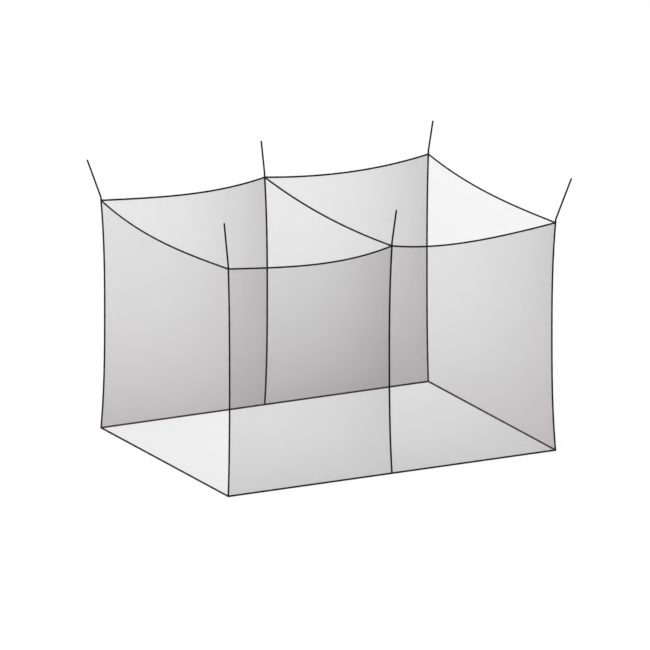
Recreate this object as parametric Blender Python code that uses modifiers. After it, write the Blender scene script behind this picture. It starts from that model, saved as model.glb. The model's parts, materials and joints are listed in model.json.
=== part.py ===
"""A rectangular mosquito net for a double bed, hung at six points.

The net is a box of sheer cloth, open underneath: a roof and two long sides of two bays each, and
two ends. Every seam, top edge and hem is bound with a rolled tape, and a cord is sewn in at each
hanging point. The roof and its edges sag between the cords, and the upright seams and the walls
draw inwards. X runs along the bed, Y from front to back and Z up, from the middle of the foot.
"""

import math

import bmesh
import bpy
from mathutils import Vector

# Driving dimensions, in metres.
LENGTH = 2.20  # between the seams of the two ends
WIDTH = 1.67  # between the seams of the two long sides
HEIGHT = 1.42  # from the foot to the hanging points
NET = 0.001  # thickness of the net cloth
BINDING = 0.010  # diameter of the rolled binding
CORD = 0.010  # diameter of a tie
GAP = 0.0003  # left between sewn pieces

# The lines that hang between two hanging points. A place is given by its sides along X and Y.
# Columns: where it starts, where it ends, its dip, and how far the dip leans towards its start.
TOP_EDGES = {
    "front_left": ((-1, -1), (0, -1), 0.049, -0.39),
    "front_right": ((0, -1), (1, -1), 0.044, 0.31),
    "back_left": ((-1, 1), (0, 1), 0.039, -0.39),
    "back_right": ((0, 1), (1, 1), 0.042, -0.11),
    "end_left": ((-1, -1), (-1, 1), 0.056, -0.34),
    "end_right": ((1, -1), (1, 1), 0.0425, -0.30),
    "middle": ((0, -1), (0, 1), 0.040, -0.11),
}
CROSSINGS = {-1: "end_left", 0: "middle", 1: "end_right"}

# How far the rest of the cloth leaves the straight lines between its corners.
ROOF_BELLY = 0.024  # dip of a roof panel below its own edges
CORNER_DRAW = (0.017, 0.0155)  # how far a corner seam draws in, along X and along Y
MIDDLE_DRAW = (0.0, 0.034)  # the same for the upright seam in the middle of a long side
LONG_WALL_BELLY = 0.016  # how far a long side's panel draws in past its seams
END_WALL_BELLY = 0.024  # the same for an end panel
SEAM_FULLNESS = 2.7  # an upright seam bends mostly near its ends
EDGE_FULLNESS = 2.0  # a top edge hangs as a parabola
BELLY_FULLNESS = 2.0  # and so does the middle of a panel

# Columns: name, side along X, side along Y, how far the tie leans out along each of these, and how
# high its free end is above its root.
HANGING_POINTS = (
    ("front_left", -1, -1, 0.057, 0.303),
    ("front_middle", 0, -1, 0.060, 0.235),
    ("front_right", 1, -1, 0.071, 0.281),
    ("back_left", -1, 1, 0.062, 0.241),
    ("back_middle", 0, 1, 0.046, 0.211),
    ("back_right", 1, 1, 0.064, 0.179),
)
TIE_STUB = 0.003  # a tie leaves its seam straight up for this far
TIE_ROOT = 0.010  # and bends out over this far each side of its knee
TIE_STEP = 0.020  # between the points along a tie
TIE_BEND_STEPS = 4

# Facets along the pieces.
BAY_STEPS = 10  # along a bay of a long side
END_STEPS = 12  # across an end
UPRIGHT_STEPS = 10  # up a wall
ROUND_STEPS = 2  # gives eight sides round a binding or a cord

RADIUS = BINDING / 2
SEAT = RADIUS + GAP  # from a binding's middle line to the net's edge beside it

# Columns: base colour, roughness.
FINISHES = {
    "net": ((0.40, 0.40, 0.41, 1.0), 0.85),
    "binding": ((0.012, 0.012, 0.013, 1.0), 0.80),
    "cord": ((0.014, 0.014, 0.015, 1.0), 0.75),
}


def clear_scene():
    for old in list(bpy.data.objects):
        bpy.data.objects.remove(old, do_unlink=True)


def new_material(piece_name, finish):
    colour, roughness = FINISHES[finish]
    material = bpy.data.materials.new(piece_name + "_" + finish)
    material.use_nodes = True
    shader = material.node_tree.nodes["Principled BSDF"]
    shader.inputs["Base Color"].default_value = colour
    shader.inputs["Roughness"].default_value = roughness
    shader.inputs["Metallic"].default_value = 0.0
    return material


def arch(t, fullness):
    """1 halfway along and 0 at both ends; a higher fullness is flatter in the middle."""
    return 1.0 - abs(2.0 * t - 1.0) ** fullness


def hanging_point(side_x, side_y):
    return Vector((side_x * LENGTH / 2, side_y * WIDTH / 2, HEIGHT))


def seam_point(side_x, side_y, t):
    """A point of an upright seam, with t from 0 at the foot to 1 at the hanging point."""
    draw_x, draw_y = CORNER_DRAW if side_x else MIDDLE_DRAW
    drawn = arch(t, SEAM_FULLNESS)
    return Vector((
        side_x * (LENGTH / 2 - draw_x * drawn),
        side_y * (WIDTH / 2 - draw_y * drawn),
        t * HEIGHT,
    ))


def edge_point(edge, t):
    """A point of the line that hangs between two hanging points."""
    start_side, end_side, dip, lean = TOP_EDGES[edge]
    point = hanging_point(*start_side).lerp(hanging_point(*end_side), t)
    point.z -= dip * arch(t + lean * t * (1 - t), EDGE_FULLNESS)
    return point


def patch_point(foot, top, left, right, u, v):
    """A point of the smooth sheet between four border curves that meet at its corners."""
    between_rows = foot(u).lerp(top(u), v)
    between_columns = left(v).lerp(right(v), u)
    between_corners = foot(0.0).lerp(foot(1.0), u).lerp(top(0.0).lerp(top(1.0), u), v)
    return between_rows + between_columns - between_corners


def belly(u, v):
    """How much of its belly a panel has at a point: all in the middle, none at its borders."""
    return arch(u, BELLY_FULLNESS) * arch(v, BELLY_FULLNESS)


def spread(first, last, steps):
    return [first + (last - first) * i / steps for i in range(steps + 1)]


def add_panel(name, collection, surface, us, vs):
    """A net panel: the points surface(u, v) over a grid, thickened evenly to both sides."""
    grid = bmesh.new()
    bmesh.ops.create_grid(grid, x_segments=len(us) - 1, y_segments=len(vs) - 1, size=1.0)
    for vertex in grid.verts:
        column = round((vertex.co.x + 1) / 2 * (len(us) - 1))
        row = round((vertex.co.y + 1) / 2 * (len(vs) - 1))
        vertex.co = surface(us[column], vs[row])
    mesh = bpy.data.meshes.new(name)
    grid.to_mesh(mesh)
    grid.free()
    mesh.shade_smooth()
    mesh.materials.append(new_material(name, "net"))
    panel = bpy.data.objects.new(name, mesh)
    collection.objects.link(panel)
    thicken = panel.modifiers.new("Cloth thickness", "SOLIDIFY")
    thicken.thickness = NET
    thicken.offset = 0.0
    return panel


def add_tube(name, collection, points, diameter, finish):
    """A round length of binding or cord through the points, with flat ends."""
    curve = bpy.data.curves.new(name, "CURVE")
    curve.dimensions = "3D"
    curve.bevel_depth = diameter / 2
    curve.bevel_resolution = ROUND_STEPS
    curve.use_fill_caps = True
    line = curve.splines.new("POLY")
    line.points.add(len(points) - 1)
    for control, point in zip(line.points, points):
        control.co = (*point, 1.0)
    curve.materials.append(new_material(name, finish))
    tube = bpy.data.objects.new(name, curve)
    collection.objects.link(tube)
    return tube


def bay_grid(length, steps):
    """Grid values across a panel that ends beside the bindings at both of its sides."""
    return spread(SEAT / length, 1 - SEAT / length, steps)


def wall_rows():
    """Grid values up a wall, from just above the hem binding to just below the top one."""
    lowest_edge = HEIGHT - max(dip for _start, _end, dip, _lean in TOP_EDGES.values())
    return spread((BINDING + GAP) / HEIGHT, 1 - SEAT / lowest_edge, UPRIGHT_STEPS)


def span(edge):
    start_side, end_side, _dip, _lean = TOP_EDGES[edge]
    return (hanging_point(*end_side) - hanging_point(*start_side)).length


def add_wall(name, collection, inwards, steps):
    """A wall panel below the top edge of its own name, between the upright seams at its two ends.

    The vector inwards is the way that its belly goes, as long as the belly is deep.
    """
    left_side, right_side, _dip, _lean = TOP_EDGES[name]
    foot_start, foot_end = seam_point(*left_side, 0.0), seam_point(*right_side, 0.0)

    def surface(u, v):
        flat = patch_point(
            lambda t: foot_start.lerp(foot_end, t),
            lambda t: edge_point(name, t),
            lambda t: seam_point(*left_side, t),
            lambda t: seam_point(*right_side, t),
            u,
            v,
        )
        return flat + inwards * belly(u, v)

    return add_panel(name, collection, surface, bay_grid(span(name), steps), wall_rows())


def add_roof(name, collection, bay, x_low, x_high):
    """A roof panel between two of the crossing lines."""

    def surface(u, v):
        flat = patch_point(
            lambda t: edge_point("front_" + bay, t),
            lambda t: edge_point("back_" + bay, t),
            lambda t: edge_point(CROSSINGS[x_low], t),
            lambda t: edge_point(CROSSINGS[x_high], t),
            u,
            v,
        )
        return flat - Vector((0, 0, ROOF_BELLY * belly(u, v)))

    us, vs = bay_grid(LENGTH / 2, BAY_STEPS), bay_grid(WIDTH, END_STEPS)
    return add_panel(name, collection, surface, us, vs)


def add_top_binding(edge, collection, steps):
    """The binding of a top edge. Its ends stop beside the uprights, which lean in below them."""
    _start_side, _end_side, dip, lean = TOP_EDGES[edge]
    length = span(edge)
    slope = 2 * EDGE_FULLNESS * dip * (1 + abs(lean)) / length
    seam_slope = 2 * SEAM_FULLNESS * max(MIDDLE_DRAW) / HEIGHT
    first = (SEAT + RADIUS * (slope + seam_slope)) / length
    ts = [first] + bay_grid(length, steps)[1:-1] + [1 - first]
    points = [edge_point(edge, t) for t in ts]
    return add_tube("top_binding_" + edge, collection, points, BINDING, "binding")


def add_upright(name, collection, side_x, side_y):
    """The binding of an upright seam, from the top of the hem to the root of the tie."""
    points = [seam_point(side_x, side_y, t) for t in wall_rows()]
    points[0].z += GAP  # its end face tilts a little as the seam leans in
    top = hanging_point(side_x, side_y)
    points += [top, top + Vector((0, 0, RADIUS))]
    return add_tube(name, collection, points, BINDING, "binding")


def add_hems(collection):
    """The foot's bindings: the long ones run past the corners, and the ends' stop beside them."""
    reach = LENGTH / 2 + RADIUS
    for name, side in (("hem_front", -1), ("hem_back", 1)):
        ends = [Vector((x, side * WIDTH / 2, RADIUS)) for x in (-reach, reach)]
        add_tube(name, collection, ends, BINDING, "binding")
    reach = WIDTH / 2 - SEAT
    for name, side in (("hem_left", -1), ("hem_right", 1)):
        ends = [Vector((side * LENGTH / 2, y, RADIUS)) for y in (-reach, reach)]
        add_tube(name, collection, ends, BINDING, "binding")


def tie_points(side_x, side_y, reach, rise):
    """A taut tie's middle line: straight up out of its seam, round a soft bend, then straight."""
    root = hanging_point(side_x, side_y) + Vector((0, 0, RADIUS + GAP))
    tip = root + Vector((side_x * reach, side_y * reach, rise))
    bend_start = root + Vector((0, 0, TIE_STUB))
    knee = bend_start + Vector((0, 0, TIE_ROOT))
    run = tip - knee
    bend_end = knee + run.normalized() * TIE_ROOT
    bend = [
        bend_start.lerp(knee, t).lerp(knee.lerp(bend_end, t), t)
        for t in spread(0.0, 1.0, TIE_BEND_STEPS)
    ]
    steps = math.ceil((tip - bend_end).length / TIE_STEP)
    return [root] + bend[:-1] + [bend_end.lerp(tip, t) for t in spread(0.0, 1.0, steps)]


def build_net():
    collection = bpy.data.collections.new("Mosquito net")
    bpy.context.scene.collection.children.link(collection)

    for wall, side in (("front", -1), ("back", 1)):
        for bay in ("left", "right"):
            inwards = Vector((0, -side * LONG_WALL_BELLY, 0))
            add_wall(wall + "_" + bay, collection, inwards, BAY_STEPS)
            add_top_binding(wall + "_" + bay, collection, BAY_STEPS)
    for bay, side in (("left", -1), ("right", 1)):
        inwards = Vector((-side * END_WALL_BELLY, 0, 0))
        add_wall("end_" + bay, collection, inwards, END_STEPS)
        add_top_binding("end_" + bay, collection, END_STEPS)
    add_top_binding("middle", collection, END_STEPS)
    add_roof("roof_left", collection, "left", -1, 0)
    add_roof("roof_right", collection, "right", 0, 1)
    for name, side_x, side_y, reach, rise in HANGING_POINTS:
        add_upright("upright_" + name, collection, side_x, side_y)
        add_tube("tie_" + name, collection, tie_points(side_x, side_y, reach, rise), CORD, "cord")
    add_hems(collection)


if __name__ == "__main__":
    clear_scene()
    build_net()
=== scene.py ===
"""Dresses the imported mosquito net: sheer knitted cloth, stitched bindings and braided ties.

The cloth of every panel is one sheet that hangs between its seams, computed from the same few
dimensions as the solids. The bindings are rolled tapes carried along the seams, with a lapped edge
and two rows of stitches. The ties are braids with whipped roots and sealed ends. X runs along the
bed, Y from front to back and Z up. All lengths are in metres.
"""

import json
import math

import bpy
import numpy as np
from bpy.props import FloatProperty, FloatVectorProperty, IntProperty, PointerProperty
from bpy.types import Operator, Panel, PropertyGroup
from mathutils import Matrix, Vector


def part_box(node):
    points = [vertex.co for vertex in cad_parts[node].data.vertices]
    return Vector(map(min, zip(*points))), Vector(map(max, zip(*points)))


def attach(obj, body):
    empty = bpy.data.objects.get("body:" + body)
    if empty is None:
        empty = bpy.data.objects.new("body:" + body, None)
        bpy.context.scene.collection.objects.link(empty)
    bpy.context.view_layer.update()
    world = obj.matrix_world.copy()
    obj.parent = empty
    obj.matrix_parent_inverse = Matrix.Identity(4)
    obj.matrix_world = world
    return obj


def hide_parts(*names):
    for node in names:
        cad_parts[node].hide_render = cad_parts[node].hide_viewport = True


bl_info = {
    "name": "Mosquito Net Canopy",
    "version": (1, 0, 0),
    "blender": (4, 5, 0),
    "location": "View3D > Sidebar > Mosquito Net",
    "description": "Builds the cloth, bindings, stitches and ties of a box-shaped mosquito net",
    "category": "Object",
}

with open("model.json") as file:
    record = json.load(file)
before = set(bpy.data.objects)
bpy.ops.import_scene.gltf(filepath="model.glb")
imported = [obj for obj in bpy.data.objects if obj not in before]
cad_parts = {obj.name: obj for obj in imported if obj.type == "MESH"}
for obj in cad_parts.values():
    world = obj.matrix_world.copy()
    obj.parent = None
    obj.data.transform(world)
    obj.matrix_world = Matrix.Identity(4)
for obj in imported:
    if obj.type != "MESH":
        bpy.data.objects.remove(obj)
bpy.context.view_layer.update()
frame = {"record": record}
BODY = "root"

# The net's own frame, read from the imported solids.
HEM_LOW, HEM_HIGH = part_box("hem_front")
BINDING = HEM_HIGH.z - HEM_LOW.z
RADIUS = BINDING / 2
LENGTH = HEM_HIGH.x - HEM_LOW.x - BINDING
WIDTH = -(HEM_LOW.y + HEM_HIGH.y)
HANGING_MOUNT = next(m for m in frame["record"]["mounts"] if m["name"] == "hanging_points")
HEIGHT = HANGING_MOUNT["pos_m"][2]
GAP = 0.0003  # left between sewn pieces in the solids

SEAM_FULLNESS = 2.7  # an upright seam bends mostly near its ends
EDGE_FULLNESS = 2.0  # a top edge hangs as a parabola
BELLY_FULLNESS = 2.0  # and so does the middle of a panel

# The lines that hang between two hanging points. A place is given by its sides along X and Y.
# Columns: where it starts, where it ends, its dip, and how far the dip leans towards its start.
TOP_EDGES = {
    "front_left": ((-1, -1), (0, -1), 0.049, -0.39),
    "front_right": ((0, -1), (1, -1), 0.044, 0.31),
    "back_left": ((-1, 1), (0, 1), 0.039, -0.39),
    "back_right": ((0, 1), (1, 1), 0.042, -0.11),
    "end_left": ((-1, -1), (-1, 1), 0.056, -0.34),
    "end_right": ((1, -1), (1, 1), 0.0425, -0.30),
    "middle": ((0, -1), (0, 1), 0.040, -0.11),
}
CROSSINGS = {-1: "end_left", 0: "middle", 1: "end_right"}

# Columns: name, sides along X and Y, how far the tie leans out along each of these, and how high its
# free end is above its root.
HANGING_POINTS = (
    ("front_left", (-1, -1), 0.057, 0.303),
    ("front_middle", (0, -1), 0.060, 0.235),
    ("front_right", (1, -1), 0.071, 0.281),
    ("back_left", (-1, 1), 0.062, 0.241),
    ("back_middle", (0, 1), 0.046, 0.211),
    ("back_right", (1, 1), 0.064, 0.179),
)
TIE_STUB = 0.003  # a tie leaves its seam straight up for this far
TIE_ROOT = 0.010  # and bends out over this far each side of its knee
TIE_STEP = 0.020  # between the points of a tie's route
TIE_BEND_STEPS = 4

# The photograph is a parallel projection.
PICTURE_SIDE = 650  # pixels
PIXELS_PER_METRE = 167.14
CAMERA_AZIMUTH = math.radians(-27.12)
CAMERA_ELEVATION = math.radians(16.035)
CAMERA_DISTANCE = 12.0
NET_MIDDLE_PIXEL = (328.3, 325.6)  # where the middle of the net is in the photograph


# ---- What a user would change ----


def length_property(name, description, default, low, high):
    """A length in metres, with its least and most."""
    return FloatProperty(
        name=name,
        description=description,
        default=default,
        min=low,
        max=high,
        precision=4,
        subtype="DISTANCE",
        unit="LENGTH",
    )


def cover_property(name, default):
    """A panel's cover at its four corners: the yarn's share, set panel by panel as painted shade."""
    description = "Yarn's share of the cloth, at the foot's left and right and the top's left and right"
    return FloatVectorProperty(
        name=name, description=description, default=default, size=4, min=0.0, max=0.9
    )


def colour_property(name, description, default):
    """A colour as its linear red, green and blue."""
    return FloatVectorProperty(
        name=name, description=description, default=default, size=3, min=0.0, max=1.0, subtype="COLOR"
    )


class NetHang(PropertyGroup):
    """How far the hung cloth leaves the straight lines between its corners."""

    edge_dip: FloatProperty(
        name="Edge dip", description="Dip of the top edges, 1 as drawn", default=1.0, min=0.0, max=3.0
    )
    roof_belly: length_property("Roof belly", "Dip of a roof panel below its own edges", 0.024, 0, 0.2)
    corner_draw_x: length_property("Corner draw along X", "How far a corner seam draws in", 0.017, 0, 0.1)
    corner_draw_y: length_property("Corner draw along Y", "How far a corner seam draws in", 0.0155, 0, 0.1)
    middle_draw: length_property("Middle draw", "How far a middle upright seam draws in", 0.034, 0, 0.1)
    long_wall_belly: length_property("Long wall belly", "How far a long side panel draws in", 0.016, 0, 0.1)
    end_wall_belly: length_property("End wall belly", "How far an end panel draws in", 0.024, 0, 0.1)
    fold_depth: length_property("Fold depth", "Depth of the folds below a hanging point", 0.0014, 0, 0.01)
    grid_step: length_property("Cloth grid", "Distance between a panel's points", 0.015, 0.004, 0.1)


class NetCloth(PropertyGroup):
    """The knitted net's holes and yarn. A cover is the yarn's share of the cloth, varied as painted shade.
    """

    hole_spacing: length_property("Hole spacing", "Distance between the net's holes", 0.0018, 0.0008, 0.004)
    yarn: colour_property("Yarn", "Graphite grey yarn of the net", (0.120, 0.093, 0.106))
    # Painted shade: the long walls get dense yarn, darkest at the foot and the right seam, and the ends and
    # roof thin yarn, so that they look lit.
    front_cover: cover_property("Front cover", (0.430, 0.460, 0.200, 0.385))
    back_left_cover: cover_property("Back left cover", (0.475, 0.525, 0.205, 0.445))
    back_right_cover: cover_property("Back right cover", (0.470, 0.500, 0.190, 0.425))
    left_end_cover: cover_property("Left end cover", (0.185, 0.185, 0.130, 0.130))
    right_end_cover: cover_property("Right end cover", (0.170, 0.170, 0.095, 0.095))
    roof_cover: cover_property("Roof cover", (0.035, 0.035, 0.035, 0.035))


class NetTrim(PropertyGroup):
    """The bindings, their stitches and the ties."""

    tape_depth: length_property("Tape depth", "Depth of the rolled tape", 0.0094, 0.002, 0.02)
    tape_lap: length_property("Tape lap", "Height of the tape's lapped edge", 0.0004, 0, 0.002)
    stitch_pitch: length_property("Stitch pitch", "From one stitch to the next", 0.005, 0.002, 0.02)
    stitch_length: length_property("Stitch length", "The part of a stitch that shows", 0.0038, 0.001, 0.02)
    thread: length_property("Thread", "Diameter of the sewing thread", 0.0007, 0.0002, 0.002)
    cord: length_property("Tie cord", "Diameter of a tie", 0.010, 0.002, 0.02)
    whipping: length_property("Whipping", "Diameter of the thread round a tie's root", 0.001, 0.0004, 0.003)
    cord_lay: length_property("Braid lay", "Length of one turn of a tie's yarns", 0.032, 0.01, 0.1)
    cord_yarns: IntProperty(
        name="Braid yarns", description="Yarns each way round a tie", default=8, min=3, max=16
    )
    tape_colour: colour_property("Tape colour", "Woven tape of the bindings", (0.0078, 0.0075, 0.0074))
    thread_colour: colour_property("Thread colour", "Sewing thread", (0.0135, 0.0130, 0.0128))
    cord_colour: colour_property("Cord colour", "Braided ties", (0.0080, 0.0077, 0.0076))


# ---- Shapes ----


def arch(t, fullness):
    """1 halfway along and 0 at both ends: one less the distance from the middle raised to the fullness."""
    return 1.0 - np.abs(2.0 * t - 1.0) ** fullness


def hanging_point(side):
    """Half the length and width out from the middle, by the sides along X and Y, at full height."""
    return np.array((side[0] * LENGTH / 2, side[1] * WIDTH / 2, HEIGHT))


def straight_line(start, end, t):
    """The points a share t of the way from start to end."""
    return start + (end - start) * np.asarray(t)[..., None]


def seam_line(hang, side, t):
    """An upright seam: straight up from the foot to the hanging point, drawn in by the arch of t."""
    draw_x, draw_y = (hang.corner_draw_x, hang.corner_draw_y) if side[0] else (0.0, hang.middle_draw)
    drawn = arch(t, SEAM_FULLNESS)
    x = side[0] * (LENGTH / 2 - draw_x * drawn)
    y = side[1] * (WIDTH / 2 - draw_y * drawn)
    return np.stack((x, y, t * HEIGHT), axis=-1)


def edge_line(hang, edge, t):
    """A top edge: the line between two hanging points, let down by its dip times the arch of t.

    A lean of the dip first moves t by the lean times t times 1 - t.
    """
    start_side, end_side, dip, lean = TOP_EDGES[edge]
    points = straight_line(hanging_point(start_side), hanging_point(end_side), t)
    points[..., 2] -= hang.edge_dip * dip * arch(t + lean * t * (1 - t), EDGE_FULLNESS)
    return points


def patch(foot, top, left, right, u, v):
    """The sheet between four border lines, as a grid of points, v by u.

    Rows blended from foot to top plus columns blended from left to right, less the flat sheet through
    the four corners.
    """
    across, up = u[None, :, None], v[:, None, None]
    between_rows = foot[None] * (1 - up) + top[None] * up
    between_columns = left[:, None] * (1 - across) + right[:, None] * across
    low = foot[0] * (1 - across) + foot[-1] * across
    high = top[0] * (1 - across) + top[-1] * across
    return between_rows + between_columns - (low * (1 - up) + high * up)


def pull_folds(across, down, depth):
    """Soft folds that fan out from a hanging point, from the distances across and down from it.

    The depth, times the cosine of a few waves round the point, times the sine of twice the angle, so
    that both seams stay clean, faded in close to the point and out again further off.
    """
    waves, core, reach = 11.0, 0.05, 0.24
    distance = np.hypot(across, down)
    angle = np.arctan2(across, down)
    fade = (1 - np.exp(-distance / core)) * np.exp(-distance / reach)
    return depth * np.cos(waves * angle) * np.sin(2 * angle) * fade


# Two crossing waves. Columns: share of the depth, radians a metre across and up, radians at the corner.
SLOW_WAVES = ((0.6, 13.0, 2.1, 0.7), (0.4, 7.3, -3.4, 2.0))


def slow_waves(across, up, depth):
    """Long uneven waves of a hung cloth: the depth times the sum of each wave's share of its cosine."""
    waves = (share * np.cos(across * by_x + up * by_z + start) for share, by_x, by_z, start in SLOW_WAVES)
    return depth * sum(waves)


def span(edge):
    """The straight distance between a top edge's hanging points."""
    start_side, end_side, _dip, _lean = TOP_EDGES[edge]
    return np.linalg.norm(hanging_point(end_side) - hanging_point(start_side))


def wall_points(hang, edge, belly, inwards, u, v):
    """The wall below a top edge: the patch between its borders, drawn in by its belly and its folds.

    The belly is the product of both arches. The soft folds fade out at the borders.
    """
    left_side, right_side, _dip, _lean = TOP_EDGES[edge]
    foot_ends = [seam_line(hang, side, np.array(0.0)) for side in (left_side, right_side)]
    foot = straight_line(*foot_ends, u)
    top = edge_line(hang, edge, u)
    grid = patch(foot, top, seam_line(hang, left_side, v), seam_line(hang, right_side, v), u, v)
    across, up = np.meshgrid(u * span(edge), v * HEIGHT)
    drawn = np.outer(arch(v, BELLY_FULLNESS), arch(u, BELLY_FULLNESS))
    folds = pull_folds(across, HEIGHT - up, hang.fold_depth)
    folds += pull_folds(span(edge) - across, HEIGHT - up, -hang.fold_depth)
    folds += slow_waves(across, up, hang.fold_depth) * np.sqrt(drawn)
    return grid + inwards * (belly * drawn + folds)[..., None]


def roof_points(hang, bay, low_x, high_x, u, v):
    """A roof panel between two crossing lines: the patch between its borders, let down by its belly."""
    front, back = edge_line(hang, "front_" + bay, u), edge_line(hang, "back_" + bay, u)
    low, high = edge_line(hang, CROSSINGS[low_x], v), edge_line(hang, CROSSINGS[high_x], v)
    grid = patch(front, back, low, high, u, v)
    across, up = np.meshgrid(u * LENGTH / 2, v * WIDTH)
    drawn = np.outer(arch(v, BELLY_FULLNESS), arch(u, BELLY_FULLNESS))
    folds = slow_waves(across, up, hang.fold_depth) * np.sqrt(drawn)
    for far_x in (across, LENGTH / 2 - across):
        folds += pull_folds(far_x, up, hang.fold_depth) + pull_folds(far_x, WIDTH - up, -hang.fold_depth)
    grid[..., 2] -= hang.roof_belly * drawn + folds
    return grid


def along(points):
    """How far along a line each of its points is, in metres."""
    steps = np.linalg.norm(np.diff(points, axis=0), axis=1)
    return np.concatenate(([0.0], np.cumsum(steps)))


def at_distances(line, distances):
    """The points of a line at the given distances along it."""
    far = along(line)
    return np.stack([np.interp(distances, far, line[:, axis]) for axis in range(3)], axis=-1)


def evenly(points, step):
    """The same line with points at even distances of about one step."""
    length = along(points)[-1]
    return at_distances(points, np.linspace(0.0, length, max(2, math.ceil(length / step) + 1)))


def directions(points, outwards):
    """Unit vectors at each point of a line: to the side, outwards and along it."""
    run = np.gradient(points, axis=0)
    run /= np.linalg.norm(run, axis=1)[:, None]
    out = np.broadcast_to(outwards, points.shape)
    out = out - run * np.sum(out * run, axis=1)[:, None]
    out /= np.linalg.norm(out, axis=1)[:, None]
    return np.cross(out, run), out, run


FIRST_RING = 0.06  # angle from a domed end's tip to its first ring, which is capped
DOME_ROOM = 1.2  # radii from an end in which only the dome's own rings are kept


def domed_ends(distance, radius, steps, flat_start=False, flat_end=False):
    """A line's distances with extra rings in both ends, and each ring's share of the full section.

    In the last radius of the line, the share is the height of a half circle. A flat end keeps it all.
    """
    near = radius * (1 - np.cos(np.linspace(FIRST_RING, math.pi / 2, steps)))
    room = radius * DOME_ROOM
    inner = distance[(distance > room) & (distance < distance[-1] - room)]
    rings = np.concatenate((near, inner, distance[-1] - near[::-1]))
    to_start = rings + radius * flat_start
    to_end = distance[-1] - rings + radius * flat_end
    share = np.sqrt(1 - np.clip(1 - np.minimum(to_start, to_end) / radius, 0, 1) ** 2)
    return rings, share


def carried(points, outwards, section):
    """A closed section carried along a line, as a grid of points, rings by corners.

    Each ring is the line's point plus the section's first number to the side and its second outwards.
    """
    side, out, _run = directions(points, outwards)
    return points[:, None] + section[..., :1] * side[:, None] + section[..., 1:] * out[:, None]


# ---- Meshes ----


def grid_corners(rows, columns):
    """The four corners of each cell of a grid, as flat numbers into it, row by row."""
    row, column = np.meshgrid(np.arange(rows - 1), np.arange(columns - 1), indexing="ij")
    first = row * columns + column
    return np.stack((first, first + 1, first + columns + 1, first + columns), axis=-1).reshape(-1, 4)


def new_piece(name, vertices, faces, material, nodes=()):
    """A smooth mesh object that rides on the net, takes a finish and stands for its CAD nodes."""
    mesh = bpy.data.meshes.new(name)
    mesh.from_pydata(vertices.tolist(), [], faces)
    mesh.update()
    mesh.shade_smooth()
    mesh.materials.append(material)
    piece = bpy.data.objects.new(name, mesh)
    bpy.context.scene.collection.objects.link(piece)
    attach(piece, BODY)
    if nodes:
        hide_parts(*nodes)
    return piece


def set_uv(piece, layer, corner_uv):
    """Writes a UV map, two numbers for each corner of each face, in the order of the faces."""
    uv = piece.data.uv_layers.new(name=layer)
    uv.data.foreach_set("uv", np.ascontiguousarray(corner_uv, dtype=np.float32).ravel())


def new_sheet(node, grid, uv, cover, material, turned_over=False):
    """An open sheet from a grid of points, its place on the cloth in metres, and its yarn cover with painted
    shade.
    """
    rows, columns = grid.shape[:2]
    corners = grid_corners(rows, columns)
    if turned_over:
        corners = corners[:, ::-1]
    piece = new_piece(node + "_net", grid.reshape(-1, 3), corners.tolist(), material, (node,))
    set_uv(piece, "weave", uv.reshape(-1, 2)[corners])
    attribute = piece.data.attributes.new("cover", "FLOAT", "POINT")
    attribute.data.foreach_set("value", cover.ravel().astype(np.float32))
    return piece


def new_tube(name, grid, distance, material, nodes):
    """A closed tube from a grid of rings and corners, capped, with metres round and along as its UV."""
    rings, around = grid.shape[:2]
    open_corners = grid_corners(rings, around + 1)
    ring, corner = np.divmod(open_corners, around + 1)
    faces = (ring * around + corner % around).tolist()
    faces.append(list(range(around - 1, -1, -1)))
    faces.append(list(range((rings - 1) * around, rings * around)))
    piece = new_piece(name, grid.reshape(-1, 3), faces, material, nodes)
    girth = math.pi * BINDING
    round_it = np.linspace(0.0, girth, around + 1)
    uv = np.stack(np.meshgrid(round_it, distance), axis=-1).reshape(-1, 2)
    start_cap = np.stack((round_it[around - 1 :: -1], np.full(around, distance[0])), axis=-1)
    end_cap = np.stack((round_it[:around], np.full(around, distance[-1])), axis=-1)
    set_uv(piece, "wrap", np.concatenate((uv[open_corners].reshape(-1, 2), start_cap, end_cap)))
    return piece


# ---- Finishes ----


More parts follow.
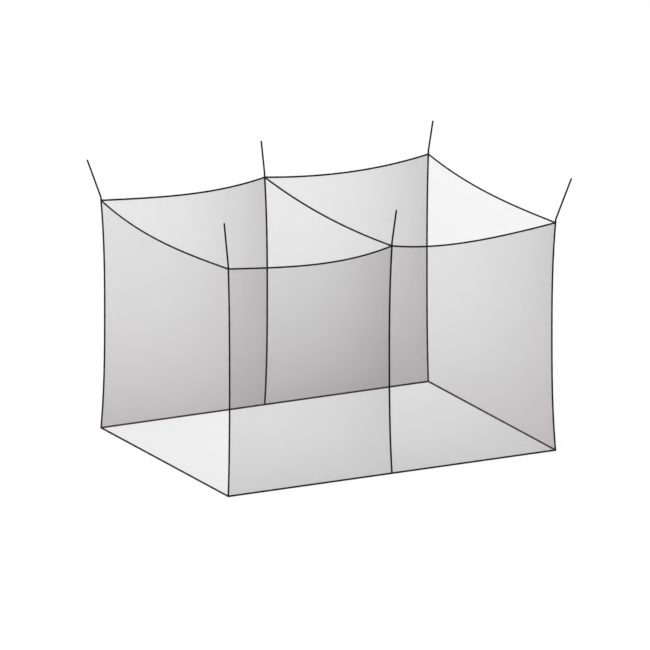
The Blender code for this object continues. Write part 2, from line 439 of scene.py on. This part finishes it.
class Nodes:
    """Short calls for building the node tree of a material or a world."""

    def __init__(self, owner):
        owner.use_nodes = True
        self.owner = owner
        self.tree = owner.node_tree
        self.tree.nodes.clear()

    def socket(self, node, key):
        """A node's input, from i and its number, or from its name with _ for each space."""
        if key[0] == "i" and key[1:].isdigit():
            return node.inputs[int(key[1:])]
        return node.inputs[key.replace("_", " ")]

    def add(self, kind, settings=(), **inputs):
        """A node with its settings, and its inputs set to numbers or joined to other nodes' sockets."""
        node = self.tree.nodes.new(kind)
        for key, value in dict(settings).items():
            setattr(node, key, value)
        for key, value in inputs.items():
            socket = self.socket(node, key)
            if isinstance(value, bpy.types.NodeSocket):
                self.tree.links.new(value, socket)
            else:
                socket.default_value = value
        return node

    def maths(self, operation, first, second=0.0, third=0.0):
        node = self.add("ShaderNodeMath", {"operation": operation}, i0=first, i1=second, i2=third)
        return node.outputs[0]

    def vector(self, operation, first, second=(0, 0, 0), third=(0, 0, 0), output="Vector"):
        node = self.add("ShaderNodeVectorMath", {"operation": operation}, i0=first, i1=second, i2=third)
        return node.outputs[output]

    def some_of_each(self, share, first, second):
        """The share of the first number and the rest of the second."""
        return self.maths("MULTIPLY_ADD", first, share, self.maths("MULTIPLY", second, 1.0 - share))

    def uv(self, layer):
        return self.add("ShaderNodeUVMap", {"uv_map": layer}).outputs[0]

    def noise(self, scale, detail, output="Fac"):
        """Noise at the piece's own place, with lumps about a metre over the scale in size."""
        place = self.add("ShaderNodeTexCoord").outputs["Object"]
        return self.add("ShaderNodeTexNoise", Vector=place, Scale=scale, Detail=detail).outputs[output]

    def ridges(self, vector, scale, distortion, detail, detail_scale):
        """Straight ridges across X, a tenth of pi over the scale apart, bent by noise."""
        bend = {"Distortion": distortion, "Detail": detail, "Detail_Scale": detail_scale}
        return self.add("ShaderNodeTexWave", Vector=vector, Scale=scale, **bend).outputs["Fac"]

    def shades(self, share, colour, dark, light):
        """The colour, from dark times it at share 0 to light times it at share 1."""
        low, high = ([part * shade for part in colour] + [1.0] for shade in (dark, light))
        return self.add("ShaderNodeMix", {"data_type": "RGBA"}, i0=share, i6=low, i7=high).outputs[2]

    def cloth(self, colour, roughness, specular, height, strength, distance):
        """A rough shader with a bump."""
        bump = self.add("ShaderNodeBump", Strength=strength, Distance=distance, Height=height).outputs[0]
        look = {"Base_Color": colour, "Roughness": roughness, "Specular_IOR_Level": specular}
        return self.add("ShaderNodeBsdfPrincipled", Normal=bump, **look).outputs[0]

    def output(self, shader):
        """Ends a material's tree in its shader, and gives the material."""
        self.add("ShaderNodeOutputMaterial", Surface=shader)
        return self.owner


HOLE_VEIL = 0.8  # the share of the cover that is loose fibres across the holes
KNIT_WANDER = 0.0010  # how far the knit strays from even rows, in metres, at most
CLOUD_DEPTH = 0.10  # how much more cover the thickest places have than the thinnest
YARN_GLOW = 0.3  # the share of light on the yarn that comes through it
TWILL_SCALE = 353.6776513  # ridges 0.89 mm apart
TWILL_SLANT = math.radians(35)
FIBRE_SCALE = 380.0  # ridges 0.83 mm apart


def net_finish(cloth):
    """Sheer warp-knitted net: six-sided holes in rows that are set off by half, and yarn between them.

    The place on the cloth is brought into the nearest hole, of two grids of holes that are half a step
    apart. Its distance from the hole's middle, measured square to the sides, is a half at the yarn's
    middle line. Yarn is where it is over half the root of the holes' share of the cloth, and thickens
    from there to its middle. Its loose fibres veil the holes, and both together give the cover.
    """
    nodes = Nodes(bpy.data.materials.new("sheer_net"))
    uneven = nodes.noise(scale=110.0, detail=0.0, output="Color")
    off_centre = nodes.vector("SUBTRACT", uneven, (0.5, 0.5, 0.5))
    wander = nodes.vector("MULTIPLY", off_centre, (KNIT_WANDER, KNIT_WANDER, 0.0))
    steps = 1 / cloth.hole_spacing
    knit = nodes.vector("MULTIPLY", nodes.vector("ADD", nodes.uv("weave"), wander), (steps, steps, 0.0))
    half_row = math.sqrt(3) / 2
    limits = ((0.5, half_row, 0.5), (-0.5, -half_row, -0.5))
    one = nodes.vector("WRAP", knit, *limits)
    other = nodes.vector("WRAP", nodes.vector("SUBTRACT", knit, (0.5, half_row, 0.0)), *limits)
    far_one, far_other = (nodes.vector("LENGTH", place, output="Value") for place in (one, other))
    nearer = nodes.maths("LESS_THAN", far_other, far_one)
    in_hole = nodes.add("ShaderNodeMix", {"data_type": "VECTOR"}, i0=nearer, i4=one, i5=other).outputs[1]
    in_hole = nodes.vector("ABSOLUTE", in_hole)
    level_side = nodes.add("ShaderNodeSeparateXYZ", Vector=in_hole).outputs[0]
    slant_side = nodes.vector("DOT_PRODUCT", in_hole, (0.5, half_row, 0.0), output="Value")
    from_middle = nodes.maths("MAXIMUM", level_side, slant_side)

    # The cover attribute is the yarn's share and painted shade together: denser where a panel is to look
    # darker.
    cover = nodes.add("ShaderNodeAttribute", {"attribute_name": "cover"}).outputs["Fac"]
    cloud = nodes.noise(scale=5.0, detail=3.0)
    cloudy = nodes.maths("MULTIPLY_ADD", cloud, CLOUD_DEPTH, 1.0 - CLOUD_DEPTH / 2)
    cover = nodes.maths("MULTIPLY", cover, cloudy)
    veil = nodes.maths("MULTIPLY", cover, HOLE_VEIL)
    clearness = nodes.maths("SUBTRACT", 1.0, veil)
    holes = nodes.maths("DIVIDE", nodes.maths("SUBTRACT", 1.0, cover), clearness)
    hole_width = nodes.maths("SQRT", holes)
    inside = nodes.maths("MULTIPLY_ADD", hole_width, -0.5, from_middle)
    yarn_width = nodes.maths("SUBTRACT", 1.0, hole_width)
    yarn = nodes.maths("ADD", nodes.maths("DIVIDE", inside, yarn_width), 0.5)
    yarn = nodes.add("ShaderNodeClamp", Value=yarn).outputs[0]
    yarn = nodes.maths("MULTIPLY_ADD", yarn, clearness, veil)

    colour = nodes.shades(cloud, cloth.yarn, dark=0.8, light=1.2)
    thread = nodes.cloth(colour, roughness=0.7, specular=0.3, height=inside, strength=0.3, distance=0.0002)
    glow = nodes.add("ShaderNodeBsdfTranslucent", Color=colour)
    body = nodes.add("ShaderNodeMixShader", i0=YARN_GLOW, i1=thread, i2=glow.outputs[0])
    clear = nodes.add("ShaderNodeBsdfTransparent")
    net = nodes.add("ShaderNodeMixShader", i0=yarn, i1=clear.outputs[0], i2=body.outputs[0])
    return nodes.output(net.outputs[0])


def tape_finish(trim):
    """Near-black cotton tape: a fine twill across its length, worn a little paler on its raised parts."""
    nodes = Nodes(bpy.data.materials.new("rolled_tape"))
    turned = nodes.add("ShaderNodeMapping", Vector=nodes.uv("wrap"), Rotation=(0.0, 0.0, TWILL_SLANT))
    twill = nodes.ridges(turned.outputs[0], TWILL_SCALE, distortion=0.6, detail=1.0, detail_scale=2.0)
    fuzz = nodes.noise(scale=900.0, detail=2.0)
    fade = nodes.noise(scale=14.0, detail=3.0)
    colour = nodes.shades(nodes.some_of_each(0.45, twill, fade), trim.tape_colour, dark=0.65, light=1.5)
    relief = nodes.maths("MULTIPLY_ADD", fuzz, 0.35, twill)
    cloth = nodes.cloth(colour, roughness=0.82, specular=0.07, height=relief, strength=0.5, distance=0.0002)
    return nodes.output(cloth)


def thread_finish(trim):
    """Twisted sewing thread with a slight polish on its strands."""
    nodes = Nodes(bpy.data.materials.new("sewing_thread"))
    strands = nodes.noise(scale=1600.0, detail=1.0)
    colour = nodes.shades(strands, trim.thread_colour, dark=0.7, light=1.4)
    thread = nodes.cloth(colour, roughness=0.6, specular=0.25, height=strands, strength=0.4, distance=0.0001)
    return nodes.output(thread)


def cord_finish(trim):
    """Matt braided cord: fine fibres along each yarn and a little fading from yarn to yarn."""
    nodes = Nodes(bpy.data.materials.new("braided_cord"))
    fibres = nodes.ridges(nodes.uv("wrap"), FIBRE_SCALE, distortion=2.5, detail=2.0, detail_scale=1.5)
    fade = nodes.noise(scale=180.0, detail=2.0)
    colour = nodes.shades(nodes.some_of_each(0.4, fibres, fade), trim.cord_colour, dark=0.6, light=1.6)
    cord = nodes.cloth(colour, roughness=0.75, specular=0.07, height=fibres, strength=0.35, distance=0.0002)
    return nodes.output(cord)


def shared(name, finish, trim):
    """The material of that name, made by its finish where it isn't there yet."""
    return bpy.data.materials.get(name) or finish(trim)


# ---- Stage ----


FLOOR_SIDE = 200.0
FLOOR_DROP = 0.001  # below the hem
FLOOR_SEEN = 0.87  # the floor's own light as the camera sees it
FLOOR_GLOW = 0.50  # and as it falls on the net
FLOOR_GREY = 0.05
AMBIENT = 0.12  # the backdrop's light on all but the camera

# Columns: name, direction that the light comes from, strength, angle across it in degrees.
LAMPS = (
    ("studio_left", (-0.75, 0.0, 0.66), 6.5, 50),
    ("studio_right", (0.80, 0.0, 0.60), 3.5, 50),
    ("studio_top", (0.0, 0.0, 1.0), 2.5, 60),
)


def floor_finish():
    """Plain white studio floor, lit from within as well, so that it fades into the white backdrop.

    Camera rays see it brighter than the net is lit by it.
    """
    nodes = Nodes(bpy.data.materials.new("studio_floor"))
    seen = nodes.add("ShaderNodeLightPath").outputs["Is Camera Ray"]
    strength = nodes.maths("MULTIPLY_ADD", seen, FLOOR_SEEN - FLOOR_GLOW, FLOOR_GLOW)
    glow = nodes.add("ShaderNodeEmission", Color=(1.0, 1.0, 1.0, 1.0), Strength=strength)
    matt = nodes.add("ShaderNodeBsdfDiffuse", Color=(FLOOR_GREY, FLOOR_GREY, FLOOR_GREY, 1.0))
    both = nodes.add("ShaderNodeAddShader", i0=glow.outputs[0], i1=matt.outputs[0])
    return nodes.output(both.outputs[0])


def add_camera():
    """A parallel camera at the drawing's angle, with the net's middle at its pixel."""
    back = Vector((
        math.sin(CAMERA_AZIMUTH) * math.cos(CAMERA_ELEVATION),
        -math.cos(CAMERA_AZIMUTH) * math.cos(CAMERA_ELEVATION),
        math.sin(CAMERA_ELEVATION),
    ))
    turn = (-back).to_track_quat("-Z", "Y")
    right, up = turn @ Vector((1, 0, 0)), turn @ Vector((0, 1, 0))
    from_middle = [(pixel - PICTURE_SIDE / 2) / PIXELS_PER_METRE for pixel in NET_MIDDLE_PIXEL]
    aim = Vector((0, 0, HEIGHT / 2)) - right * from_middle[0] + up * from_middle[1]
    data = bpy.data.cameras.new("drawing_camera")
    data.type = "ORTHO"
    data.ortho_scale = PICTURE_SIDE / PIXELS_PER_METRE
    data.clip_end = 10 * FLOOR_SIDE
    camera = bpy.data.objects.new("drawing_camera", data)
    camera.rotation_mode = "QUATERNION"
    camera.rotation_quaternion = turn
    camera.location = aim + back * CAMERA_DISTANCE
    bpy.context.scene.collection.objects.link(camera)
    bpy.context.scene.camera = camera


def add_lamps():
    """Wide soft suns, each with its Z towards where its light comes from."""
    for name, towards, strength, across in LAMPS:
        data = bpy.data.lights.new(name, "SUN")
        data.energy = strength
        data.angle = math.radians(across)
        lamp = bpy.data.objects.new(name, data)
        lamp.rotation_mode = "QUATERNION"
        lamp.rotation_quaternion = Vector(towards).to_track_quat("Z", "Y")
        bpy.context.scene.collection.objects.link(lamp)


def add_backdrop():
    """A white world to the camera, and a dim even one to everything else."""
    nodes = Nodes(bpy.data.worlds.new("white_backdrop"))
    seen = nodes.add("ShaderNodeLightPath").outputs["Is Camera Ray"]
    level = nodes.add("ShaderNodeMapRange", Value=seen, To_Min=AMBIENT, To_Max=1.0).outputs[0]
    background = nodes.add("ShaderNodeBackground", Color=(1.0, 1.0, 1.0, 1.0), Strength=level)
    nodes.add("ShaderNodeOutputWorld", Surface=background.outputs[0])
    bpy.context.scene.world = nodes.owner


def add_floor():
    """One large square just below the hem."""
    half = FLOOR_SIDE / 2
    corners = [(x * half, y * half, -FLOOR_DROP) for x, y in ((-1, -1), (1, -1), (1, 1), (-1, 1))]
    mesh = bpy.data.meshes.new("studio_floor")
    mesh.from_pydata(corners, [], [(0, 1, 2, 3)])
    mesh.materials.append(floor_finish())
    floor = bpy.data.objects.new("studio_floor", mesh)
    bpy.context.scene.collection.objects.link(floor)


# ---- Pieces ----


def tie_route(side, reach, rise):
    """A taut tie's middle line: straight up out of its seam, round a soft bend, then straight."""
    root = hanging_point(side) + (0.0, 0.0, RADIUS + GAP)
    tip = root + (side[0] * reach, side[1] * reach, rise)
    bend_start = root + (0.0, 0.0, TIE_STUB)
    knee = bend_start + (0.0, 0.0, TIE_ROOT)
    bend_end = knee + (tip - knee) / np.linalg.norm(tip - knee) * TIE_ROOT
    t = np.linspace(0.0, 1.0, TIE_BEND_STEPS + 1)[:, None]
    bend = (bend_start + (knee - bend_start) * t) * (1 - t) + (knee + (bend_end - knee) * t) * t
    steps = math.ceil(np.linalg.norm(tip - bend_end) / TIE_STEP)
    run = straight_line(bend_end, tip, np.linspace(0.0, 1.0, steps + 1))
    return np.concatenate((root[None], bend[:-1], run))


CROSSING_LIFT = 0.35  # a yarn's rise where it passes over another one, as a share of its own height


def braid_height(yarns, lay, around, distance):
    """Height of a braid's surface, from 0 between its yarns to 1 on top of them.

    Yarns wind both ways. A yarn's own height is the cosine across it, more where it passes over a
    yarn of the other way and less where it dives under, and the higher of the two is the surface.
    """
    turn = around[None, :] * yarns / (2 * math.pi)
    rise = distance[:, None] * yarns / lay
    one, other = turn + rise, turn - rise
    over = np.where((np.floor(one) + np.floor(other)) % 2 == 0, 1.0, -1.0)
    across_one = np.cos(math.pi * (one % 1 - 0.5))
    across_other = np.cos(math.pi * (other % 1 - 0.5))
    high_one = across_one * (1 + CROSSING_LIFT * over * across_other)
    high_other = across_other * (1 - CROSSING_LIFT * over * across_one)
    return np.maximum(high_one, high_other) / (1 + CROSSING_LIFT)


def across_tie(side):
    """A level direction square to a tie's lean."""
    return np.array((side[1], -side[0], 0.0)) if side[0] else np.array((1.0, 0.0, 0.0))


def add_tie(name, side, reach, rise, trim, material):
    """A braided tie: a circle carried along its route, drawn in by up to a seventh between its yarns.

    The crowns of the yarns stand a little out of the cord's round. It is cut square where it is sewn to
    its seam, and its free end is sealed to a dome.
    """
    corners, step, groove, crown, dome_steps = 40, 0.0008, 0.15, 1.09, 6
    seal_reach, seal_groove = 1.5, 0.25  # radii from the tip, and the groove left there
    radius = crown * trim.cord / 2
    route = tie_route(side, reach, rise)
    line = evenly(route, step)
    rings, share = domed_ends(along(line), radius, dome_steps, flat_start=True)
    points = at_distances(line, rings)
    around = np.linspace(0.0, 2 * math.pi, corners, endpoint=False)
    height = braid_height(trim.cord_yarns, trim.cord_lay, around, rings)
    sealed = np.clip((rings[-1] - rings) / (seal_reach * radius), seal_groove, 1)[:, None]
    size = radius * (1 - groove * sealed * (1 - height)) * share[:, None]
    section = np.stack((size * np.cos(around), size * np.sin(around)), axis=-1)
    grid = carried(points, across_tie(side), section)
    tie = new_tube("tie_" + name + "_braid", grid, rings, material, ("tie_" + name,))


def panel_values(length, step):
    """Even shares from 0 to 1, about one step of the length apart."""
    return np.linspace(0.0, 1.0, math.ceil(length / step) + 1)


def metres(u, v, across, up):
    """Each grid point's place on the flat cloth: u times its size across and v times its size up."""
    return np.stack(np.meshgrid(u * across, v * up), axis=-1)


def cover_over(corners, u, v):
    """The cover over a panel, from its values at the foot's left and right and the top's left and right.

    It goes from left to right by u to the power 2.5, as painted shade that darkens it towards the right
    seam, and from top to foot by the square of the distance from the top, as painted shade darker at the
    foot.
    """
    foot_left, foot_right, top_left, top_right = corners
    across = u**2.5
    down = (1 - v[:, None]) ** 2
    foot = foot_left + (foot_right - foot_left) * across
    top = top_left + (top_right - top_left) * across
    return top + (foot - top) * down


def add_wall(name, belly, inwards, cover, hang, material, cut_across=False):
    """A wall of net below the top edge of its own name, from the hem's middle line to that edge.

    Cloth that is cut across the roll has the rows of its holes upright, so that they never line up
    with the rows of the wall through which it is seen.
    """
    across = span(name)
    u = panel_values(across, hang.grid_step)
    v = RADIUS / HEIGHT + (1 - RADIUS / HEIGHT) * panel_values(HEIGHT, hang.grid_step)
    grid = wall_points(hang, name, belly, np.array(inwards), u, v)
    uv = metres(u, v, across, HEIGHT)
    if cut_across:
        uv = uv[..., ::-1]
    faces_back = inwards[0] > 0 or inwards[1] < 0
    piece = new_sheet(name, grid, uv, cover_over(cover, u, v), material, faces_back)


def add_roof(bay, low_x, high_x, cover, hang, material):
    """A roof panel of net between the crossing lines at two sides along X."""
    u = panel_values(LENGTH / 2, hang.grid_step)
    v = panel_values(WIDTH, hang.grid_step)
    grid = roof_points(hang, bay, low_x, high_x, u, v)
    uv = metres(u, v, LENGTH / 2, WIDTH)
    piece = new_sheet("roof_" + bay, grid, uv, cover_over(cover, u, v), material)


TAPE_SQUARENESS = 0.72  # 1 gives a round section, and less a squarer one
LAP_START, LAP_END = 1.10, 2.6  # angles from the tape's side between which its lap is at full height
TAPE_STEP = 0.010  # between a tape's rings
LINE_POINTS = 200  # on a line that a tape follows

# How a tape's width varies. Columns: share of the width, radians a metre, radians from tape to tape.
TAPE_WANDER = ((0.025, 61, 1.0), (0.02, 163, 2.3))


def tape_section(trim, distance, share, seed):
    """A rolled tape's section at each point of its line: a rounded square, wider than it is deep.

    Each side is the cosine or sine to a power below 1. The tape's end laps over the outer face, from a
    step that shows along it to the far side, and stands out by the tape's own thickness. The width
    wanders by a few hundredths along the line.
    """
    corners, step = 20, 0.04
    around = np.linspace(0.0, 2 * math.pi, corners, endpoint=False)
    around = np.sort(np.append(around, (LAP_START - step, LAP_START + step)))
    side = np.sign(np.cos(around)) * np.abs(np.cos(around)) ** TAPE_SQUARENESS
    out = np.sign(np.sin(around)) * np.abs(np.sin(around)) ** TAPE_SQUARENESS
    lap_angles = (LAP_START - step, LAP_START + step, LAP_END, math.pi)
    lap = trim.tape_lap * np.interp(around, lap_angles, (0, 1, 1, 0))
    wander = sum(part * np.sin(distance * waves + turn * seed) for part, waves, turn in TAPE_WANDER)
    size = (share * (1 + wander))[:, None]
    width = RADIUS * side + lap * np.cos(around)
    depth = trim.tape_depth / 2 * out + lap * np.sin(around)
    return np.stack((size * width, size * depth), axis=-1)


def tape_height(trim, offset):
    """How far a rolled tape's face is from its middle, at an offset to the side of its middle line."""
    level = math.acos((offset / RADIUS) ** (1 / TAPE_SQUARENESS))
    return trim.tape_depth / 2 * math.sin(level) ** TAPE_SQUARENESS


def add_tapes(context, lines, flat_end=False):
    """A rolled tape for each line: its section carried along it, with its ends drawn in to domes."""
    trim, dome_steps = context.scene.net_trim, 5
    material = shared("rolled_tape", tape_finish, trim)
    for seed, (node, line, outwards) in enumerate(lines):
        line = evenly(line, TAPE_STEP)
        rings, share = domed_ends(along(line), trim.tape_depth / 2, dome_steps, flat_end=flat_end)
        section = tape_section(trim, rings, share, seed)
        grid = carried(at_distances(line, rings), outwards, section)
        new_tube(node + "_tape", grid, rings, material, (node,))


def top_lines(hang):
    """Each top binding's node, middle line and outward direction."""
    t = np.linspace(0.0, 1.0, LINE_POINTS)
    lines = []
    for edge, (start_side, end_side, _dip, _lean) in TOP_EDGES.items():
        middle_x, middle_y = ((first + last) / 2 for first, last in zip(start_side, end_side))
        outwards = (round(middle_x), 0.0, 1.0) if middle_y == 0 else (0.0, middle_y, 1.0)
        lines.append(("top_binding_" + edge, edge_line(hang, edge, t), outwards))
    return lines


def upright_lines(hang):
    """Each upright's node, middle line from inside the hem to the tie's root, and outward direction."""
    t = np.linspace(RADIUS / HEIGHT, 1.0, LINE_POINTS)
    lines = []
    for name, side, _reach, _rise in HANGING_POINTS:
        top = hanging_point(side) + (0.0, 0.0, RADIUS)
        lines.append(("upright_" + name, np.vstack((seam_line(hang, side, t), top)), (*side, 0.0)))
    return lines


def hem_lines():
    """Each hem binding's node, middle line past its corners, and outward direction."""
    lines = []
    half_length, half_width = LENGTH / 2 + RADIUS, WIDTH / 2 - RADIUS / 2
    for name, side in (("hem_front", -1), ("hem_back", 1)):
        ends = np.array([(x, side * WIDTH / 2, RADIUS) for x in (-half_length, half_length)])
        lines.append((name, ends, (0.0, side, 0.0)))
    for name, side in (("hem_left", -1), ("hem_right", 1)):
        ends = np.array([(side * LENGTH / 2, y, RADIUS) for y in (-half_width, half_width)])
        lines.append((name, ends, (side, 0.0, 0.0)))
    return lines


STITCH_OFFSET = 0.0012  # from the tape's middle line, just inside its lapped edge
THREAD_CORNERS = 6
STITCH_SHOULDER = 0.34  # from a stitch's middle to where it is thickest, as a share of its length


def thread_corners():
    """The cosine and sine of even angles round a thread, corners by two."""
    around = np.linspace(0.0, 2 * math.pi, THREAD_CORNERS, endpoint=False)
    return np.stack((np.cos(around), np.sin(around)), axis=-1)


def stitch_shape(length, thickness):
    """One stitch lying along X: two hexagons and a point at each end, closed. Its points and faces."""
    corners = THREAD_CORNERS
    ring = np.column_stack((np.zeros(corners), thread_corners())) * thickness / 2
    shoulder = (length * STITCH_SHOULDER, 0, 0)
    tips = [(-length / 2, 0, 0), (length / 2, 0, 0)]
    points = np.vstack((ring - shoulder, ring + shoulder, tips))
    here = np.arange(corners)
    following = (here + 1) % corners
    sides = np.stack((here, following, following + corners, here + corners), axis=-1)
    start = np.stack((following, here, np.full(corners, 2 * corners)), axis=-1)
    end = np.stack((here + corners, following + corners, np.full(corners, 2 * corners + 1)), axis=-1)
    return points, (sides, start, end)


def stitches_along(line, outwards, trim, face):
    """Every stitch of one row: the stitch's shape at even pitch along the line, to one side of it.

    A stitch's X goes along the line, its Y to the side and its Z outwards, or inwards for face -1.
    """
    count = int(along(line)[-1] / trim.stitch_pitch) - 1
    middle = at_distances(line, (np.arange(count) + 1) * trim.stitch_pitch)
    side, out, run = directions(middle, outwards)
    shape, _faces = stitch_shape(trim.stitch_length, trim.thread)
    lap = trim.tape_lap if face == 1 else 0.0
    height = tape_height(trim, STITCH_OFFSET) + lap
    place = middle + side * STITCH_OFFSET + out * face * height
    return (
        place[:, None]
        + shape[None, :, :1] * run[:, None]
        + shape[None, :, 1:2] * side[:, None] * face
        + shape[None, :, 2:] * out[:, None] * face
    )


def add_stitches(name, lines, trim, material):
    """One mesh of the stitches of several bindings, a row on the outer and one on the inner face."""
    rows = []
    for _node, line, outwards in lines:
        for face in (1, -1):
            rows.append(stitches_along(evenly(line, TAPE_STEP), outwards, trim, face))
    stitches = np.concatenate(rows)
    count, size = stitches.shape[:2]
    _shape, parts = stitch_shape(trim.stitch_length, trim.thread)
    shift = (np.arange(count) * size)[:, None, None]
    faces = []
    for part in parts:
        faces += (part[None] + shift).reshape(-1, part.shape[1]).tolist()
    new_piece(name, stitches.reshape(-1, 3), faces, material)


WHIPPING_START = 0.0004  # above a tie's root
WHIPPING_FULLNESS = 24.0  # it sinks only close to its ends


def whipping_line(side, reach, rise, trim):
    """Thread wound round a tie's root: a helix on the tie's own line, sunk into the cord at both ends."""
    turns, steps_each, sunk = 6, 20, 0.0009
    t = np.linspace(0.0, 1.0, turns * steps_each + 1)
    root = evenly(tie_route(side, reach, rise), trim.thread)
    points = at_distances(root, WHIPPING_START + t * turns * trim.whipping)
    across, out, _run = directions(points, across_tie(side))
    turned = (2 * math.pi * turns * t)[:, None]
    radius = trim.cord / 2 + trim.whipping / 2 - sunk * (1 - arch(t, WHIPPING_FULLNESS))[:, None]
    return points + radius * (across * np.cos(turned) + out * np.sin(turned))


def add_whipping(name, side, reach, rise, trim, material):
    """A tube of thread carried along the whipping's line."""
    line = whipping_line(side, reach, rise, trim)
    section = thread_corners() * trim.whipping / 2
    grid = carried(line, (0.0, 0.0, 1.0), np.broadcast_to(section, (len(line), *section.shape)))
    new_tube("whipping_" + name, grid, along(line), material, ())


# ---- Operators ----


class MOSQUITO_NET_OT_stage(Operator):
    """Sets up the white floor, the backdrop, the soft lamps and the drawing's parallel camera"""

    bl_idname = "mosquito_net.stage"
    bl_label = "Stage"

    def execute(self, context):
        add_camera()
        add_backdrop()
        add_lamps()
        add_floor()
        context.scene.view_settings.view_transform = "Standard"
        return {"FINISHED"}


class MOSQUITO_NET_OT_ties(Operator):
    """Braids the six ties, each at its own length, from its hanging point to its free end"""

    bl_idname = "mosquito_net.ties"
    bl_label = "Ties"

    def execute(self, context):
        trim = context.scene.net_trim
        material = cord_finish(trim)
        for name, side, reach, rise in HANGING_POINTS:
            add_tie(name, side, reach, rise, trim, material)
        return {"FINISHED"}


class MOSQUITO_NET_OT_netting(Operator):
    """Hangs the eight panels of net cloth: four bays of the long sides, two ends and two roofs"""

    bl_idname = "mosquito_net.netting"
    bl_label = "Netting"

    def execute(self, context):
        hang, cloth = context.scene.net_hang, context.scene.net_cloth
        material = net_finish(cloth)
        # Each panel's cover is painted shade as well as its yarn share.
        for bay, back_cover in (("left", cloth.back_left_cover), ("right", cloth.back_right_cover)):
            belly = hang.long_wall_belly
            add_wall("front_" + bay, belly, (0, 1, 0), cloth.front_cover, hang, material)
            add_wall("back_" + bay, belly, (0, -1, 0), back_cover, hang, material, cut_across=True)
        belly = hang.end_wall_belly
        add_wall("end_left", belly, (1, 0, 0), cloth.left_end_cover, hang, material, cut_across=True)
        add_wall("end_right", belly, (-1, 0, 0), cloth.right_end_cover, hang, material, cut_across=True)
        add_roof("left", -1, 0, cloth.roof_cover, hang, material)
        add_roof("right", 0, 1, cloth.roof_cover, hang, material)
        return {"FINISHED"}


class MOSQUITO_NET_OT_top_bindings(Operator):
    """Rolls a tape round each top edge and round the seam across the roof"""

    bl_idname = "mosquito_net.top_bindings"
    bl_label = "Top bindings"

    def execute(self, context):
        add_tapes(context, top_lines(context.scene.net_hang))
        return {"FINISHED"}


class MOSQUITO_NET_OT_uprights(Operator):
    """Rolls a tape round each upright seam, from the hem to the hanging point"""

    bl_idname = "mosquito_net.uprights"
    bl_label = "Upright bindings"

    def execute(self, context):
        add_tapes(context, upright_lines(context.scene.net_hang), flat_end=True)
        return {"FINISHED"}


class MOSQUITO_NET_OT_hems(Operator):
    """Rolls a tape round each side of the foot"""

    bl_idname = "mosquito_net.hems"
    bl_label = "Hem bindings"

    def execute(self, context):
        add_tapes(context, hem_lines())
        return {"FINISHED"}


class MOSQUITO_NET_OT_whippings(Operator):
    """Winds thread round the root of each tie, where it is sewn to its seam"""

    bl_idname = "mosquito_net.whippings"
    bl_label = "Whippings"

    def execute(self, context):
        trim = context.scene.net_trim
        material = shared("sewing_thread", thread_finish, trim)
        for name, side, reach, rise in HANGING_POINTS:
            add_whipping(name, side, reach, rise, trim, material)
        return {"FINISHED"}


class MOSQUITO_NET_OT_stitches(Operator):
    """Sews both faces of every binding with a row of lock stitches"""

    bl_idname = "mosquito_net.stitches"
    bl_label = "Stitches"

    def execute(self, context):
        hang, trim = context.scene.net_hang, context.scene.net_trim
        material = shared("sewing_thread", thread_finish, trim)
        add_stitches("stitches_top", top_lines(hang), trim, material)
        add_stitches("stitches_upright", upright_lines(hang), trim, material)
        add_stitches("stitches_hem", hem_lines(), trim, material)
        return {"FINISHED"}


OPERATORS = (
    MOSQUITO_NET_OT_stage,
    MOSQUITO_NET_OT_ties,
    MOSQUITO_NET_OT_netting,
    MOSQUITO_NET_OT_top_bindings,
    MOSQUITO_NET_OT_uprights,
    MOSQUITO_NET_OT_hems,
    MOSQUITO_NET_OT_whippings,
    MOSQUITO_NET_OT_stitches,
)


class VIEW3D_PT_mosquito_net(Panel):
    """Lists the net's sizes, finishes and steps"""

    bl_label = "Mosquito Net"
    bl_space_type = "VIEW_3D"
    bl_region_type = "UI"
    bl_category = "Mosquito Net"

    def draw(self, context):
        layout = self.layout
        layout.use_property_split = True
        for settings in (context.scene.net_hang, context.scene.net_cloth, context.scene.net_trim):
            box = layout.box()
            for name in settings.__annotations__:
                box.prop(settings, name)
        for step in OPERATORS:
            layout.operator(step.bl_idname)


CLASSES = (NetHang, NetCloth, NetTrim, *OPERATORS, VIEW3D_PT_mosquito_net)


def register():
    for each in CLASSES:
        bpy.utils.register_class(each)
    bpy.types.Scene.net_hang = PointerProperty(type=NetHang)
    bpy.types.Scene.net_cloth = PointerProperty(type=NetCloth)
    bpy.types.Scene.net_trim = PointerProperty(type=NetTrim)


def unregister():
    del bpy.types.Scene.net_trim
    del bpy.types.Scene.net_cloth
    del bpy.types.Scene.net_hang
    for each in reversed(CLASSES):
        bpy.utils.unregister_class(each)


def main():
    """Runs every step in order."""
    register()
    bpy.ops.mosquito_net.stage()
    bpy.ops.mosquito_net.ties()
    bpy.ops.mosquito_net.netting()
    bpy.ops.mosquito_net.top_bindings()
    bpy.ops.mosquito_net.uprights()
    bpy.ops.mosquito_net.hems()
    bpy.ops.mosquito_net.whippings()
    bpy.ops.mosquito_net.stitches()


if __name__ == "__main__":
    main()
